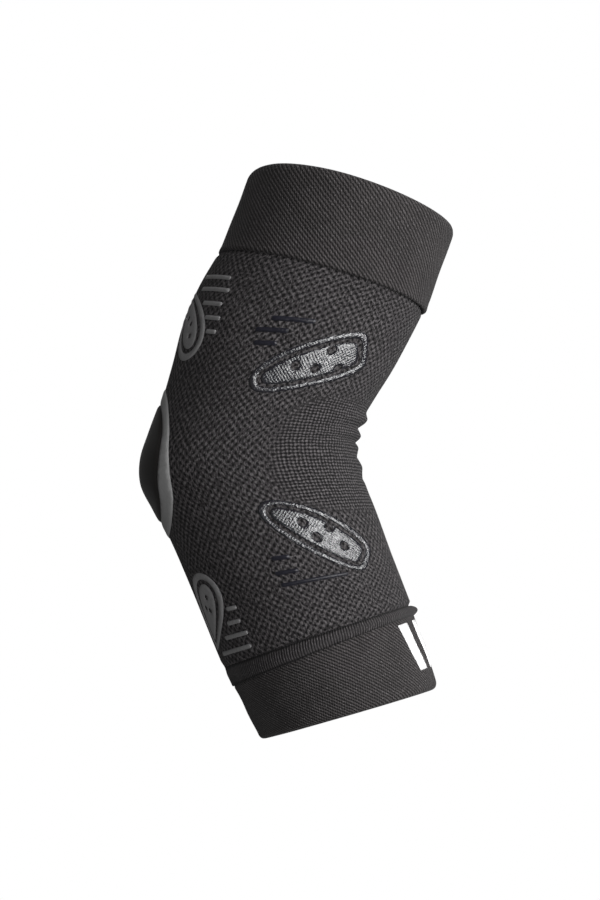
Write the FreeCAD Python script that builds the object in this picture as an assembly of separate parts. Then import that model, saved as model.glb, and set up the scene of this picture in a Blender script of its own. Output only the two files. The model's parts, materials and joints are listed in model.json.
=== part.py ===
"""Elbow sleeve with an elbow pad: a knitted compression tube, bent at the elbow, as separate pieces.

Units are millimetres. The pieces are drawn in a working frame whose origin is on the elbow's bend axis:
+X points to the crook of the elbow, -X to its point, +Z up the upper arm, and the bend axis is Y. The left
side is -Y. Each piece is moved to the row frame when it is written. The row frame's origin is the centre of
the upper opening.
"""

import FreeCAD, Part
import math
import os

from FreeCAD import Placement, Rotation, Vector

# The knit between the two cuffs: one section per row, from the upper seam to the lower seam. Each is an
# ellipse in a tilted plane, from its back point to its front point (x, z), with a half width along Y.
SECTIONS = [
    # course, back point, front point, half width
    (1.00, (-23.9, 90.5), (68.0, 63.9), 47.0),
    (0.60, (-41.4, 51.8), (54.0, 36.9), 46.8),
    (0.27, (-50.4, 22.5), (44.1, 18.5), 46.2),
    (0.00, (-58.0, -5.0), (38.7, 1.0), 45.8),
    (-0.27, (-52.2, -29.0), (45.5, -19.0), 45.4),
    (-0.56, (-38.7, -56.3), (52.7, -42.8), 44.8),
    (-1.00, (-17.8, -104.7), (63.1, -73.2), 43.2),
]
SECTION_POINTS = 24  # points on each section's curve

# Fabric
KNIT = 1.2  # thickness of the single knit of the tubes
PLY = 0.9  # thickness of one ply of a turned cuff
ELASTIC = 0.6  # thickness of the elastic band inside a cuff
CUFF = 2 * PLY + ELASTIC  # wall of a turned cuff
FOLD = 1.5  # height of solid fabric where a cuff turns over at its rim
PRINT = 0.35  # height of the moulded silicone print on the knit
PRINT_GAP = 0.05  # between a print and the face it lies on

# Cuffs: straight round tubes, cut on a slant at both ends
UPPER_RIM = (36.2, 113.4)  # centre of the upper opening (x, z)
UPPER_SEAM = (22.05, 77.2)  # centre of the seam below the upper cuff
UPPER_RADIUS = 47.5
UPPER_SLANTS = (15.6, 15.6)  # tilt of the seam and of the rim, in degrees
LOWER_RIM = (34.9, -117.9)
LOWER_SEAM = (22.7, -89.1)
LOWER_RADIUS = 42.4
LOWER_SLANTS = (-21.5, -15.5)

# Linking seams: thread rings on the inside, just past each cuff
SEAM_HEIGHT = 2.4
SEAM_GAP = 0.35  # from the tube's inner face

# The roll of gathered knit above the lower cuff
ROLL_HEIGHT = 5.4
ROLL_RISE = 1.3

# Elbow joint: the tubes stop short of the bend axis in a wedge at the back and a wider one in the crook
CROOK_HALF_ANGLE = 38.5
BACK_HALF_ANGLE = 24.0
AXIS_CLEARANCE = 3.0  # radius cleared round the bend axis where the four panels come together
PANEL_GAP = 0.4

# Elbow pad, round as seen from behind
PAD_CENTRE_Z = -8.0
PAD_RADIUS = 24.8
RING_RADIUS = 32.5
RING_RISE = 0.8
PAD_GAP = 0.3
COVER_RISE = (0.9, 2.1)  # the cover's inner and outer face, above the knit's outer face
CORE_DEPTH = -2.6  # the core's inner face
LINING_DEPTH = -3.4

# Silicone prints: a drop with small round holes, a ring round it and a row of bars beside it
BAR_WIDTH = 2.1
BAR_GAP = 0.7  # the least bare knit between a bar and the ring

# The prints behind the arm: teardrops whose blunt ends point to the elbow and lean forward
REAR_HALF_LENGTH = 20.0
REAR_HALF_WIDTH = 11.5
REAR_RING_WIDTH = 3.2
REAR_CHANNEL = 1.8  # bare knit between the ring and the drop
REAR_HOLE_RADIUS = 1.0

# The prints on the side of the arm: egg shapes whose blunt ends point forward, away from the elbow
SIDE_HALF_LENGTH = 26.0
SIDE_HALF_WIDTH = 12.5
SIDE_RING_WIDTH = 3.0
SIDE_CHANNEL = 1.9
SIDE_HOLE_RADIUS = 1.9

# Each print: its centre as a course between the seams and an angle round from the back, the direction of its
# blunt end, its holes along and across that direction, and its bars as (start round the arm, height along the
# arm, length) from its centre, with their tilt. All angles are in degrees.
UPPER_REAR = {
    "course": 0.60, "azimuth": 23.5, "turn": -54.0,
    "holes": [(7.5, 0.0), (1.5, 1.6), (-3.5, -0.8)],
    "bars": [(-6.3, 22.8, 23.8), (-1.8, 16.6, 22.2), (6.0, 9.6, 13.8), (12.1, 2.8, 9.9), (16.2, -3.8, 6.4)],
    "tilt": -2.0,
}
LOWER_REAR = {
    "course": -0.75, "azimuth": 23.5, "turn": 62.0,
    "holes": [(7.5, 0.0), (1.5, -1.6), (1.5, 1.8)],
    "bars": [(-3.9, -19.4, 23.7), (5.1, -13.2, 15.8), (11.0, -7.2, 8.4), (14.0, -0.8, 6.2)],
    "tilt": -1.0,
}
UPPER_SIDE = {
    "course": 0.465, "azimuth": 108.5, "turn": 29.0,
    "holes": [(9.1, 4.5), (1.4, -2.6), (11.8, -5.6), (-6.5, 1.5)],
    "bars": [(-24.3, 16.2, 18.2), (-28.9, 10.6, 13.8), (-27.5, 5.0, 9.9)],
    "tilt": 7.0,
}
LOWER_SIDE = {
    "course": -0.475, "azimuth": 112.0, "turn": -37.0,
    "holes": [(3.0, 5.0), (-0.7, -2.6), (12.0, 0.2), (-8.0, 1.0)],
    "bars": [(-24.9, -21.9, 31.0), (-25.5, -15.8, 10.5), (-24.4, -8.6, 8.0)],
    "tilt": 0.0,
}

# Plain mark at the front left of the lower cuff: two slanted bars
MARK_RISE = 0.3
MARK_BAR = (8.0, 20.0)
MARK_STEP = 14.0
MARK_SHEAR = 6.0
MARK_TURN = 22.0  # round from the front towards the left, in degrees

FAR = 400.0  # longer than the object, for cutting tools


def lerp(a, b, t):
    return a + (b - a) * t


def point(x, z, y=0.0):
    return Vector(x, y, z)


def section_at(course):
    """Back point, front point and half width of the knit at a course, straight between the sections."""
    for upper, lower in zip(SECTIONS, SECTIONS[1:]):
        if course >= lower[0]:
            break
    t = (upper[0] - course) / (upper[0] - lower[0])
    back = point(*(lerp(p, q, t) for p, q in zip(upper[1], lower[1])))
    front = point(*(lerp(p, q, t) for p, q in zip(upper[2], lower[2])))
    return back, front, lerp(upper[3], lower[3], t)


def section_wire(back, front, half_width, grow):
    """One closed curve round the arm, grown outward by grow."""
    centre = (back + front) * 0.5
    across = (front - back).normalize()
    reach = (front - back).Length / 2 + grow
    side = half_width + grow
    ring = []
    for i in range(SECTION_POINTS):
        angle = 2 * math.pi * i / SECTION_POINTS
        ring.append(centre - across * (reach * math.cos(angle)) - point(0, 0, side * math.sin(angle)))
    curve = Part.BSplineCurve()
    curve.interpolate(ring, PeriodicFlag=True)
    return Part.Wire(curve.toShape())


def skin(grow):
    """The solid inside the knit's outer face, grown by grow, running a little past both seams."""
    past = 0.06
    wires = []
    for course in [1 + past] + [s[0] for s in SECTIONS] + [-1 - past]:
        wires.append(section_wire(*section_at(course), grow))
    return Part.makeLoft(wires, True, False)


def half_space(at, normal):
    """A block that fills the side of a plane that its normal points to."""
    block = Part.makeBox(FAR, FAR, FAR, point(-FAR / 2, 0, -FAR / 2))
    block.Placement = Placement(at, Rotation(Vector(0, 0, 1), normal)).multiply(block.Placement)
    return block


def slant_normal(slant):
    """Upward normal of a plane that drops towards the front by slant degrees."""
    angle = math.radians(slant)
    return point(math.sin(angle), math.cos(angle))


SKINS = {}


def layer(outer, inner):
    """The fabric between two grown skins, over the whole length between the seams."""
    for grow in (outer, inner):
        if grow not in SKINS:
            SKINS[grow] = skin(grow)
    shell = SKINS[outer].cut(SKINS[inner])
    shell = shell.cut(half_space(point(*UPPER_SEAM), slant_normal(UPPER_SLANTS[0])))
    return shell.cut(half_space(point(*LOWER_SEAM), slant_normal(LOWER_SLANTS[0]) * -1))


def wedge(half_angle, direction, gap):
    """A wedge along the bend axis. It opens towards direction: +1 the crook, -1 the back.

    Its two faces are moved in by gap.
    """
    angle = math.radians(half_angle)
    tip = gap / math.sin(angle)
    rise = FAR * math.tan(angle)
    corners = [
        point(direction * tip, 0, -FAR / 2),
        point(direction * (tip + FAR), rise, -FAR / 2),
        point(direction * (tip + FAR), -rise, -FAR / 2),
    ]
    face = Part.Face(Part.makePolygon(corners + corners[:1]))
    return face.extrude(point(0, 0, FAR))


def axis_rod(radius):
    return Part.makeCylinder(radius, FAR, point(0, 0, -FAR / 2), Vector(0, 1, 0))


def pad_punch(radius, gap=0.0):
    """A round cutter from behind, through the back wall only."""
    return Part.makeCylinder(radius + gap, FAR / 2, point(-12, PAD_CENTRE_Z), Vector(-1, 0, 0))


def cuff_tube(seam, rim, outer, inner):
    """A round tube along the cuff's axis, running past both its ends."""
    axis = (point(*rim) - point(*seam)).normalize()
    base = point(*seam) - axis * 60
    solid = Part.makeCylinder(outer, 180, base, axis)
    return solid.cut(Part.makeCylinder(inner, 180, base, axis))


def toward_rim(seam, rim, slant):
    """The normal of a slanted plane, on the rim's side."""
    return slant_normal(slant) * (1 if rim[1] > seam[1] else -1)


def between(solid, seam, rim, slants, end=0.0):
    """The stretch of a cuff's tube from its seam to end short of its rim."""
    from_seam, to_rim = (toward_rim(seam, rim, slant) for slant in slants)
    solid = solid.common(half_space(point(*seam), from_seam))
    return solid.common(half_space(point(*rim) - to_rim * end, to_rim * -1))


def cuff(seam, rim, radius, slants):
    """(turned cuff, the elastic band inside it). The cuff is one fabric folded over at its rim."""
    wall = between(cuff_tube(seam, rim, radius, radius - CUFF), seam, rim, slants)
    band = cuff_tube(seam, rim, radius - PLY, radius - PLY - ELASTIC)
    band = between(band, seam, rim, slants, FOLD)
    return wall.cut(band), band


def linking_seam(seam, rim, radius, slants):
    """A ring of linking thread inside the tube, just past the cuff."""
    ring = cuff_tube(seam, rim, radius - CUFF + PLY - SEAM_GAP, radius - CUFF)
    from_seam = toward_rim(seam, rim, slants[0])
    ring = ring.common(half_space(point(*seam) - from_seam * 0.05, from_seam * -1))
    return ring.common(half_space(point(*seam) - from_seam * SEAM_HEIGHT, from_seam))


def surface_frame(course, azimuth):
    """(point, round, along, out) on the knit's outer face: round points to the front, along up the arm."""
    back, front, half_width = section_at(course)
    centre = (back + front) * 0.5
    across = (front - back).normalize()
    reach = (front - back).Length / 2
    angle = math.radians(azimuth)
    at = centre - across * (reach * math.cos(angle)) - point(0, 0, half_width * math.sin(angle))
    round_ = across * (reach * math.sin(angle)) - point(0, 0, half_width * math.cos(angle))
    round_.normalize()
    step = 0.04
    above, below = section_at(min(course + step, 1.0)), section_at(max(course - step, -1.0))
    along = ((above[0] + above[1]) - (below[0] + below[1])).normalize()
    out = along.cross(round_).normalize()
    if out.dot(at - centre) < 0:
        out = out * -1
    return at, round_, out.cross(round_) * (1 if out.cross(round_).z > 0 else -1), out


def place(frame, u, v, lift):
    """A point of the flat artwork (u round, v along) on the plane that touches the knit, raised by lift."""
    at, round_, along, out = frame
    return at + round_ * u + along * v + out * lift


def prism(frame, outline):
    """The flat outline pushed through the fabric at its place."""
    depth = 40.0
    if len(outline) > 8:
        curve = Part.BSplineCurve()
        curve.interpolate([place(frame, u, v, depth / 2) for u, v in outline], PeriodicFlag=True)
        wire = Part.Wire(curve.toShape())
    else:
        corners = [place(frame, u, v, depth / 2) for u, v in outline]
        wire = Part.makePolygon(corners + corners[:1])
    return Part.Face(wire).extrude(frame[3] * -depth)


def turned(points, degrees):
    """Flat points turned by an angle."""
    c, s = math.cos(math.radians(degrees)), math.sin(math.radians(degrees))
    return [(u * c - v * s, u * s + v * c) for u, v in points]


def loop(half_length, width_at):
    """A closed outline along u, whose half width at each angle round it is width_at(angle)."""
    count = 28
    angles = [2 * math.pi * (i + 0.5) / count for i in range(count)]
    return [(-half_length * math.cos(a), math.copysign(width_at(a), math.sin(a))) for a in angles]


def teardrop(half_length, half_width):
    """Pointed at -u and round at +u."""
    return loop(half_length, lambda a: 1.25 * half_width * abs(math.sin(a)) * abs(math.sin(a / 2)) ** 0.9)


def egg(half_length, half_width):
    """Round at -u and nearly square at +u."""
    def width_at(a):
        return half_width * abs(math.sin(a)) ** (0.55 + 0.2 * math.cos(a)) * (0.86 - 0.14 * math.cos(a))

    return loop(half_length, width_at)


def bar(start, height, length, tilt):
    h = BAR_WIDTH / 2
    corners = turned([(0.0, -h), (length, -h), (length, h), (0.0, h)], tilt)
    return [(start + u, height + v) for u, v in corners]


def motif(spec, shape, half_length, half_width, ring_width, channel, hole_radius):
    """(ring, drop, bars) of one silicone print, as solids that lie on the knit."""
    frame = surface_frame(spec["course"], spec["azimuth"])
    film = layer(PRINT, PRINT_GAP)

    def cut_out(outline):
        return film.common(prism(frame, outline))

    def sized(inset):
        return turned(shape(half_length - inset, half_width - inset), spec["turn"])

    ring = cut_out(sized(0.0)).cut(prism(frame, sized(ring_width)))
    drop = cut_out(sized(ring_width + channel))
    for u, v in turned(spec["holes"], spec["turn"]):
        drop = drop.cut(Part.makeCylinder(hole_radius, 30, place(frame, u, v, -15), frame[3]))
    clear = prism(frame, sized(-BAR_GAP))
    bars = [cut_out(bar(*b, spec["tilt"])).cut(clear) for b in spec["bars"]]
    return ring, drop, Part.makeCompound(bars)


def rear_motif(spec):
    return motif(spec, teardrop, REAR_HALF_LENGTH, REAR_HALF_WIDTH, REAR_RING_WIDTH, REAR_CHANNEL,
                 REAR_HOLE_RADIUS)


def side_motif(spec):
    return motif(spec, egg, SIDE_HALF_LENGTH, SIDE_HALF_WIDTH, SIDE_RING_WIDTH, SIDE_CHANNEL,
                 SIDE_HOLE_RADIUS)


def cuff_mark():
    """Two slanted bars near the front of the lower cuff."""
    seam, rim = point(*LOWER_SEAM), point(*LOWER_RIM)
    down = (rim - seam).normalize()
    turn = Rotation(down, MARK_TURN)
    out = turn.multVec(point(-down.z, down.x))
    side = turn.multVec(Vector(0, 1, 0))
    middle = (seam + rim) * 0.5 + out * LOWER_RADIUS
    film = cuff_tube(LOWER_SEAM, LOWER_RIM, LOWER_RADIUS + MARK_RISE, LOWER_RADIUS + PRINT_GAP)
    width, height = MARK_BAR
    bars = []
    for left in (-MARK_STEP / 2 - width / 2, MARK_STEP / 2 - width / 2):
        corners = []
        for across, along in ((left, -1), (left + width, -1), (left + width, 1), (left, 1)):
            shear = along * MARK_SHEAR / 2
            corners.append(middle + side * (across + shear) + down * (along * height / 2) + out * 6)
        tool = Part.Face(Part.makePolygon(corners + corners[:1])).extrude(out * -18)
        bars.append(film.common(tool))
    return Part.makeCompound(bars)


def write(name, shape):
    """Moves one piece to the row frame, checks it and writes it."""
    solids = [s for s in shape.Solids if s.Volume > 0.5]
    for s in solids:
        if not s.isValid():
            s.fix(0.01, 0.01, 0.01)
    piece = solids[0] if len(solids) == 1 else Part.makeCompound(solids)
    piece.translate(point(*UPPER_RIM) * -1)
    piece.exportStep(f"parts/{name}.step")
    valid = all(s.isValid() for s in piece.Solids)
    print(f"{name:28s} {len(solids)} solid(s) {piece.Volume:10.1f} mm3 valid {valid}")


def write_both_sides(name, shape):
    """The same print on the left side and, mirrored, on the right side."""
    write(name.format("left"), shape.copy())
    write(name.format("right"), shape.mirror(Vector(0, 0, 0), Vector(0, 1, 0)))


def build_tubes():
    knit = layer(0.0, -KNIT).cut(pad_punch(PAD_RADIUS, PAD_GAP))
    rod = axis_rod(AXIS_CLEARANCE)
    crook = wedge(CROOK_HALF_ANGLE, 1, 0.0)
    back = wedge(BACK_HALF_ANGLE, -1, 0.0)
    rigid = knit.cut(crook).cut(back).cut(rod)
    halves = sorted(rigid.Solids, key=lambda s: s.CenterOfMass.z)
    write("forearm_tube", halves[0])
    write("upper_arm_tube", halves[-1])
    write("crook_panel", knit.common(wedge(CROOK_HALF_ANGLE, 1, PANEL_GAP)).cut(rod))
    write("elbow_back_panel", knit.common(wedge(BACK_HALF_ANGLE, -1, PANEL_GAP)).cut(rod))


def build_pad():
    punch = pad_punch(PAD_RADIUS)
    ring = layer(RING_RISE, PRINT_GAP).common(pad_punch(RING_RADIUS))
    write("elbow_pad_ring", ring.cut(pad_punch(PAD_RADIUS, PAD_GAP)))
    write("elbow_pad_cover", layer(COVER_RISE[1], COVER_RISE[0]).common(punch))
    write("elbow_pad_core", layer(COVER_RISE[0], CORE_DEPTH).common(punch))
    write("elbow_pad_lining", layer(CORE_DEPTH, LINING_DEPTH).common(punch))


def build_cuffs():
    for name, seam, rim, radius, slants in (
        ("upper", UPPER_SEAM, UPPER_RIM, UPPER_RADIUS, UPPER_SLANTS),
        ("lower", LOWER_SEAM, LOWER_RIM, LOWER_RADIUS, LOWER_SLANTS),
    ):
        welt, band = cuff(seam, rim, radius, slants)
        write(f"{name}_cuff_welt", welt)
        write(f"{name}_cuff_elastic", band)
        write(f"{name}_linking_seam", linking_seam(seam, rim, radius, slants))
    top = slant_normal(LOWER_SLANTS[0])
    roll = layer(ROLL_RISE, 0.0).cut(half_space(point(*LOWER_SEAM) + top * ROLL_HEIGHT, top))
    write("forearm_roll", roll)
    write("cuff_mark", cuff_mark())


def build_prints():
    for name, shape in (
        ("upper_rear", rear_motif(UPPER_REAR)),
        ("lower_rear", rear_motif(LOWER_REAR)),
        ("upper_side", side_motif(UPPER_SIDE)),
        ("lower_side", side_motif(LOWER_SIDE)),
    ):
        for part_name, piece in zip(("ring", "drop", "bars"), shape):
            write_both_sides(f"{name}_{{}}_{part_name}", piece)


os.makedirs("parts", exist_ok=True)
build_tubes()
build_pad()
build_cuffs()
build_prints()
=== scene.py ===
"""The look of a knitted elbow sleeve with a padded elbow, half bent.

Lengths are millimetres, apart from those of the studio. Points (x, z) are measured from the elbow's bend
axis: +x towards the crook of the elbow, +z up the upper arm. Azimuth runs round the arm in degrees: the back
is 0, the left side 90 and the front 180. A course is a row of knit: 1 is the seam below the upper cuff, 0 is
level with the elbow and -1 is the groove above the forearm's roll. Lift is the height above a fabric's outer
face. The camera looks at the sleeve's left side.
"""

import json
import math

import bmesh
import bpy
import numpy as np
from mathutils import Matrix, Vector
from mathutils.geometry import delaunay_2d_cdt

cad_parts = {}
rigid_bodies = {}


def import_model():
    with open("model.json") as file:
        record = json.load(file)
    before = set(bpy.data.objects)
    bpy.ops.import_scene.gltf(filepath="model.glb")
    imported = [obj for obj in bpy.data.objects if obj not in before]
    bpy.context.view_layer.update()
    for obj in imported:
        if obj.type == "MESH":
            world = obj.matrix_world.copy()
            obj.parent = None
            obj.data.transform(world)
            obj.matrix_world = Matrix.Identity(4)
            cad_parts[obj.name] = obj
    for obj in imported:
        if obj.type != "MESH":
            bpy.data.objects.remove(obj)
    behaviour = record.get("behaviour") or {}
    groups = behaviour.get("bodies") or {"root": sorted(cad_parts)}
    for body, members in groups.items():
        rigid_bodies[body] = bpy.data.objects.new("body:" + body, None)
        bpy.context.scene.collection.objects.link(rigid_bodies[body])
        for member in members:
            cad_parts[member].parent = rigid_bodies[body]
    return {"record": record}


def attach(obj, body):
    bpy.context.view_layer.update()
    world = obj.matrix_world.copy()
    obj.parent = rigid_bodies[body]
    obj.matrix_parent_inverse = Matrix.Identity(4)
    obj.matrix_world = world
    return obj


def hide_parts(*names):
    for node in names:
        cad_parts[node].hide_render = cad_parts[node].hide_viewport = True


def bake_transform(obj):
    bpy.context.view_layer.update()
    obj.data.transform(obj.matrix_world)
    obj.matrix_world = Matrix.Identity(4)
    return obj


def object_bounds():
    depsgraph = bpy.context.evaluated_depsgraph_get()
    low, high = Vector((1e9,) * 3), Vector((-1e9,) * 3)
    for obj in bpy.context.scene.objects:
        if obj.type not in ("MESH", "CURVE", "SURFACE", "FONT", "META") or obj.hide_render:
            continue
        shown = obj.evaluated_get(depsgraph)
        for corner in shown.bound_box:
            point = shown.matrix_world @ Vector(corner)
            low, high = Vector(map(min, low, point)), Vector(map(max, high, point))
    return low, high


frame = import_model()
cad_box = [list(corner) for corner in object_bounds()]

MM = 0.001
JOINT = frame["record"]["behaviour"]["joints"][0]
HINGE = np.array(JOINT["pos_m"], float)
UPPER, FOREARM = JOINT["parent"], JOINT["child"]

# ---------------------------------------------------------------- the sleeve's shape

# (course, back point, front point, half width)
KNIT_SECTIONS = [
    (1.00, (-23.9, 90.5), (68.2, 63.9), 47.0),
    (0.80, (-33.0, 74.0), (62.4, 52.0), 47.0),
    (0.60, (-40.4, 56.3), (54.7, 37.6), 46.8),
    (0.40, (-45.2, 38.0), (46.5, 24.4), 46.5),
    (0.24, (-49.5, 22.2), (41.4, 15.5), 46.2),
    (0.10, (-54.2, 8.0), (38.6, 7.0), 46.0),
    (0.00, (-57.8, -3.5), (37.9, 1.5), 45.8),
    (-0.10, (-57.9, -14.0), (39.4, -6.0), 45.6),
    (-0.22, (-52.7, -25.5), (42.0, -14.8), 45.4),
    (-0.36, (-46.4, -38.0), (46.0, -25.0), 45.1),
    (-0.60, (-37.0, -59.3), (53.2, -45.5), 44.5),
    (-0.80, (-29.0, -78.0), (58.0, -57.5), 43.9),
    (-1.00, (-21.2, -96.8), (62.5, -68.9), 43.2),
]
ROLL_SECTIONS = [
    (0.0, (-21.2, -96.8), (62.5, -68.9), 43.2),
    (1.0, (-17.6, -105.2), (63.9, -73.4), 43.0),
]
UPPER_CUFF_SECTIONS = [
    (0.0, (-24.3, 90.0), (69.2, 63.4), 47.4),
    (0.5, (-17.0, 108.2), (76.2, 82.1), 47.5),
    (1.0, (-9.9, 126.3), (82.8, 101.0), 47.5),
]
LOWER_CUFF_SECTIONS = [
    (-0.12, (-18.4, -102.4), (62.2, -69.0), 42.8),
    (0.0, (-16.6, -105.4), (63.6, -73.2), 42.8),
    (0.5, (-10.6, -117.2), (69.0, -89.6), 42.4),
    (1.0, (-4.7, -129.0), (74.1, -105.6), 41.4),
]
KNIT_LENGTH = 172.0  # along the side of the arm, for course 1 to -1
KNIT_GIRTH = 292.0
UPPER_CUFF_HEIGHT = 39.0
LOWER_CUFF_HEIGHT = 31.0
ROLL_HEIGHT = 7.0

KNIT = 1.2  # thickness of the single knit
ROLL = 1.6  # thickness of the roll's gathered knit
CUFF = 2.4  # thickness of a cuff, with both plies and the elastic between them
ROUND_STEPS = 288  # points round the arm


def catmull(knots, values, x):
    """A smooth curve through values at increasing knots, read at x."""
    knots, values, x = (np.asarray(a, float) for a in (knots, values, x))
    slope = np.gradient(values, knots)
    x = np.clip(x, knots[0], knots[-1])
    i = np.clip(np.searchsorted(knots, x, side="right") - 1, 0, len(knots) - 2)
    h = knots[i + 1] - knots[i]
    t = (x - knots[i]) / h
    return ((2 * t**3 - 3 * t**2 + 1) * values[i] + (t**3 - 2 * t**2 + t) * h * slope[i]
            + (3 * t**2 - 2 * t**3) * values[i + 1] + (t**3 - t**2) * h * slope[i + 1])


class Tube:
    """A tube round the arm, read at (along, azimuth).

    relief(along, azimuth) moves points out along the normal, for surface detail, and swell(along, azimuth)
    moves them up, for edges that aren't flat.
    """

    def __init__(self, sections, relief=None, swell=None):
        rows = sorted(sections)
        self.knots = [r[0] for r in rows]
        self.columns = [[r[1][0] for r in rows], [r[1][1] for r in rows], [r[2][0] for r in rows],
                        [r[2][1] for r in rows], [r[3] for r in rows]]
        self.relief = relief or (lambda along, azimuth: 0.0 * azimuth)
        self.swell = swell or (lambda along, azimuth: 0.0 * azimuth)

    def section(self, along):
        """Back x and z, front x and z, and half width."""
        return [catmull(self.knots, column, along) for column in self.columns]

    def bare(self, along, azimuth):
        """Points (x, y, z) of the outer face without its relief."""
        bx, bz, fx, fz, half = self.section(along)
        a = np.radians(azimuth)
        x = (bx + fx) / 2 - (fx - bx) / 2 * np.cos(a)
        z = (bz + fz) / 2 - (fz - bz) / 2 * np.cos(a)
        return np.stack([x, -half * np.sin(a), z + self.swell(along, azimuth)], -1)

    def normal(self, along, azimuth):
        span = 0.01 * (self.knots[-1] - self.knots[0])
        low = np.clip(along - span, self.knots[0], self.knots[-1])
        high = np.clip(along + span, self.knots[0], self.knots[-1])
        up = self.bare(high, azimuth) - self.bare(low, azimuth)
        on = self.bare(along, azimuth + 0.5) - self.bare(along, azimuth - 0.5)
        n = np.cross(up, on)
        n /= np.linalg.norm(n, axis=-1, keepdims=True)
        bx, bz, fx, fz, _ = self.section(along)
        centre = np.stack([(bx + fx) / 2, 0 * bx, (bz + fz) / 2], -1)
        out = np.sum(n * (self.bare(along, azimuth) - centre), -1, keepdims=True)
        return n * np.sign(out)

    def at(self, along, azimuth, lift=0.0):
        """Points on the tube at a lift above its relief, in the frame's own metres."""
        along, azimuth, lift = np.broadcast_arrays(
            np.asarray(along, float), np.asarray(azimuth, float), np.asarray(lift, float))
        raised = self.bare(along, azimuth) + self.normal(along, azimuth) * (
            self.relief(along, azimuth) + lift)[..., None]
        return HINGE + raised * MM


def bump(x, centre, width):
    """1 at the centre, falling to 0 within about two widths."""
    return np.exp(-((x - centre) / width) ** 2)


def smooth(low, high, x):
    """0 at low and 1 at high, with an eased change between them."""
    t = np.clip((x - low) / (high - low), 0, 1)
    return t * t * (3 - 2 * t)


def from_back(azimuth):
    """Degrees from the back of the arm, whichever way round is shorter."""
    return np.minimum(azimuth % 360, 360 - azimuth % 360)


def ripple(along, azimuth, seed, size):
    """The gentle unevenness of fabric on an arm: waves of 2, 5 and 9 to the round, fixed by the seed."""
    a = np.radians(azimuth)
    p = seed * 1.7
    return size * (0.5 * np.sin(2 * a + 3.1 * along + p) * np.sin(4.3 * along + 0.7 * p)
                   + 0.3 * np.sin(5 * a - 4.0 * along + 2 * p) + 0.2 * np.sin(9 * a + 11 * along + 3 * p))


# Folds in the crook: (course at the front, width in courses, height, spread in degrees, drift per degree)
CROOK_FOLDS = [
    (0.235, 0.030, 1.9, 30.0, -0.0012),
    (0.165, 0.022, -1.1, 34.0, -0.0010),
    (0.105, 0.026, 1.2, 38.0, -0.0006),
    (0.045, 0.018, -0.7, 40.0, 0.0),
    (0.000, 0.022, 0.7, 42.0, 0.0004),
    (-0.055, 0.018, -0.6, 38.0, 0.0008),
    (-0.115, 0.024, 0.7, 36.0, 0.0010),
    (-0.185, 0.026, -0.5, 30.0, 0.0012),
]

KNIT_TUCK = 1.0  # how far the knit goes in under the upper cuff
GROOVE_BACK, GROOVE_SIDE = 0.3, 1.2  # depth of the groove above the roll at the back, and added at the sides
ROLL_BACK, ROLL_SIDE, ROLL_FRONT = 0.3, 1.5, 0.9  # rise of the roll at the back, and added further forward
ROLL_FOOT, ROLL_FOOT_SIDE = 0.35, 0.5  # how far its edges sink in at the back, and added at the sides
CUFF_TUCK = 0.9  # how far the lower cuff's top edge goes in under the roll
CUFF_RIPPLE = 0.35
RIM_CURL = 1.5  # how far a cuff's edge curls in
RIM_SHARE = 0.1  # of the cuff's height
UPPER_RIM_RISE = 3.1  # how far the upper rim stands up at the sides


def beside(azimuth):
    """0 at the back of the arm and 1 from its sides forward."""
    return smooth(25, 80, from_back(azimuth))


def knit_relief(course, azimuth):
    fold = ripple(course, azimuth, 1, 0.45)
    off = np.abs(azimuth - 180.0)
    for start, width, height, spread, drift in CROOK_FOLDS:
        fold = fold + height * bump(course, start + drift * off, width) * bump(off, 0.0, spread)
    tuck = smooth(0.955, 1.0, course)
    groove = smooth(-0.965, -1.0, course)
    depth = GROOVE_BACK + GROOVE_SIDE * beside(azimuth)
    return fold * (1 - tuck) * (1 - groove) - KNIT_TUCK * tuck - depth * groove


def roll_relief(along, azimuth):
    """The roll stands out most at the front, and hardly at all at the back."""
    side = beside(azimuth)
    rise = ROLL_BACK + ROLL_SIDE * side + ROLL_FRONT * smooth(120, 180, from_back(azimuth))
    crest = np.sin(np.pi * np.clip(along, 0, 1)) ** 0.7
    return rise * crest + ripple(along, azimuth, 2, 0.2) - ROLL_FOOT - ROLL_FOOT_SIDE * side


def rim_round(along):
    """A cuff's edge curls in as it turns over."""
    return -RIM_CURL * np.clip((along - (1 - RIM_SHARE)) / RIM_SHARE, 0, 1) ** 2


def upper_cuff_relief(along, azimuth):
    """The hem is a slight ridge."""
    return ripple(along, azimuth, 3, CUFF_RIPPLE) + 0.25 * bump(along, 0.03, 0.04) + rim_round(along)


def lower_cuff_relief(along, azimuth):
    tuck = smooth(0.02, -0.06, along)
    return ripple(along, azimuth, 4, CUFF_RIPPLE) + rim_round(along) - CUFF_TUCK * tuck


def upper_rim_swell(along, azimuth):
    """The upper rim stands a little higher at the sides, most of all behind them."""
    a = np.radians(azimuth)
    return UPPER_RIM_RISE * along**2 * np.abs(np.sin(a)) * (1 + 0.6 * np.cos(a))


KNIT_TUBE = Tube(KNIT_SECTIONS, knit_relief)
ROLL_TUBE = Tube(ROLL_SECTIONS, roll_relief)
UPPER_CUFF_TUBE = Tube(UPPER_CUFF_SECTIONS, upper_cuff_relief, upper_rim_swell)
LOWER_CUFF_TUBE = Tube(LOWER_CUFF_SECTIONS, lower_cuff_relief)

# ---------------------------------------------------------------- materials

UV_SCALE = 100.0  # a piece's UV map is in steps of this many millimetres
MESH_PITCH_ROUND, MESH_PITCH_ALONG = 3.4, 3.2  # of the holes in the mesh knit
CROOK_PITCH_ROUND, CROOK_PITCH_ALONG = 1.85, 1.55  # of the squared knit in the crook
EDGE_SHADE_START, EDGE_SHADE_FULL = 1.3, 0.4  # how far inside a band's edge its line of painted shade starts and is full


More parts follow.
